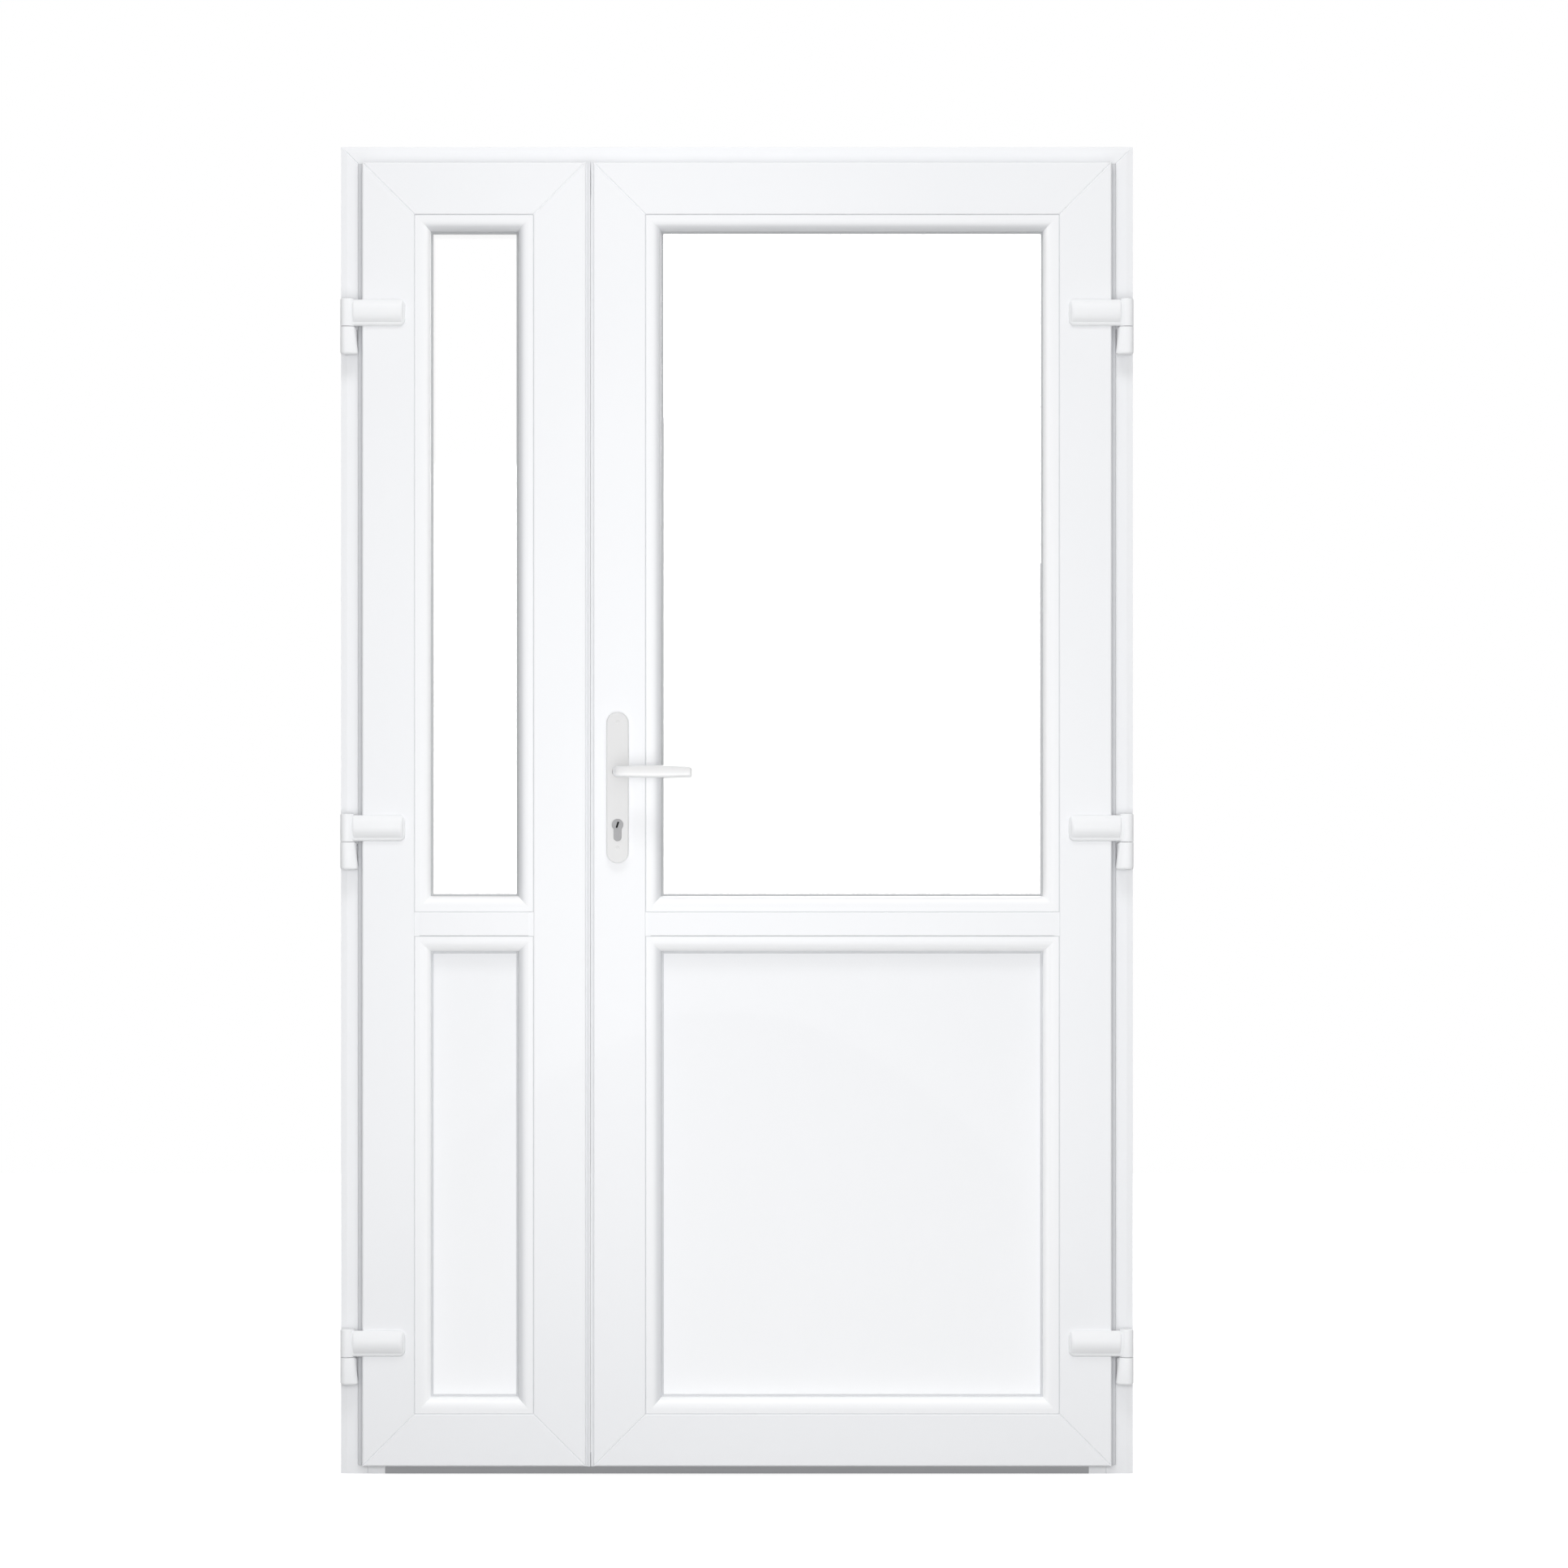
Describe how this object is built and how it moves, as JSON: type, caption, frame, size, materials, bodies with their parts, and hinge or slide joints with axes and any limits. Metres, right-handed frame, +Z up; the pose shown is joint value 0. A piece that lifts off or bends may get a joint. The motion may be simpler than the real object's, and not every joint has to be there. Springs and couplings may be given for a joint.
{
  "type": "pvc double leaf entrance door",
  "caption": "White PVC entrance door: narrow and wide hinged leaf, glazed above and panelled below, in a mitred frame on a low threshold, with lever handles.",
  "frame": {"origin": "middle of the threshold's flat underside, on the floor, halfway through the frame's depth", "axes": "+X along the wall towards the wide leaf's hinges, +Y from the room to the outside, +Z up"},
  "size_m": [1.2, 0.18, 2.01],
  "materials": {
    "pvc_white": "smooth white extruded PVC, satin gloss",
    "bead_white": "smooth white extruded PVC bead, satin gloss",
    "panel_white": "smooth white faced sandwich panel",
    "hinge_white": "white moulded hinge covers",
    "glass": "clear float glass",
    "seal_rubber": "grey extruded rubber seal",
    "threshold_aluminium": "anodised aluminium, ribbed tread",
    "spacer_aluminium": "mill aluminium spacer bar",
    "handle_metal": "light satin anodised handle set",
    "lock_steel": "nickelled lock cylinder, faceplate and strikes"
  },
  "bodies": {
    "frame": {"frame_head": "pvc_white", "frame_jamb_left": "pvc_white", "frame_jamb_right": "pvc_white", "threshold": "threshold_aluminium", "threshold_end_blocks": "pvc_white", "frame_seal": "seal_rubber", "hinge_bases_left": "hinge_white", "hinge_bases_right": "hinge_white"},
    "narrow_leaf": {"narrow_hinge_stile": "pvc_white", "narrow_meeting_stile": "pvc_white", "narrow_top_rail": "pvc_white", "narrow_bottom_rail": "pvc_white", "narrow_transom": "pvc_white", "narrow_glass": "glass", "narrow_spacer": "spacer_aluminium", "narrow_panel": "panel_white", "narrow_beads_upright": "bead_white", "narrow_beads_level": "bead_white", "narrow_glazing_seals": "seal_rubber", "narrow_edge_seal": "seal_rubber", "narrow_bottom_seal": "seal_rubber", "narrow_hinge_arms": "hinge_white", "false_mullion": "pvc_white", "strike_plates": "lock_steel"},
    "main_leaf": {"main_hinge_stile": "pvc_white", "main_meeting_stile": "pvc_white", "main_top_rail": "pvc_white", "main_bottom_rail": "pvc_white", "main_transom": "pvc_white", "main_glass": "glass", "main_spacer": "spacer_aluminium", "main_panel": "panel_white", "main_beads_upright": "bead_white", "main_beads_level": "bead_white", "main_glazing_seals": "seal_rubber", "main_edge_seal": "seal_rubber", "main_bottom_seal": "seal_rubber", "main_hinge_arms": "hinge_white", "outer_cover_strip": "pvc_white", "lock_faceplate": "lock_steel", "lock_cylinder": "lock_steel", "handle_plate_inside": "handle_metal", "handle_plate_outside": "handle_metal"},
    "handle": {"lever_inside": "handle_metal", "lever_outside": "handle_metal", "lever_spindle": "lock_steel"}
  },
  "joints": [
    {"name": "narrow_leaf_swing", "type": "hinge", "parent": "frame", "child": "narrow_leaf", "pos_m": [-0.5896, -0.053, 0.9515], "axis": [0, 0, -1], "range_deg": [0, 105]},
    {"name": "main_leaf_swing", "type": "hinge", "parent": "frame", "child": "main_leaf", "pos_m": [0.5896, -0.053, 0.9515], "axis": [0, 0, 1], "range_deg": [0, 105]},
    {"name": "handle_turn", "type": "hinge", "parent": "main_leaf", "child": "handle", "pos_m": [-0.18, -0.06, 1.063], "axis": [0, 1, 0], "range_deg": [0, 40], "stiffness_Nm_per_rad": 1.5, "springref_deg": -20.05}
  ]
}
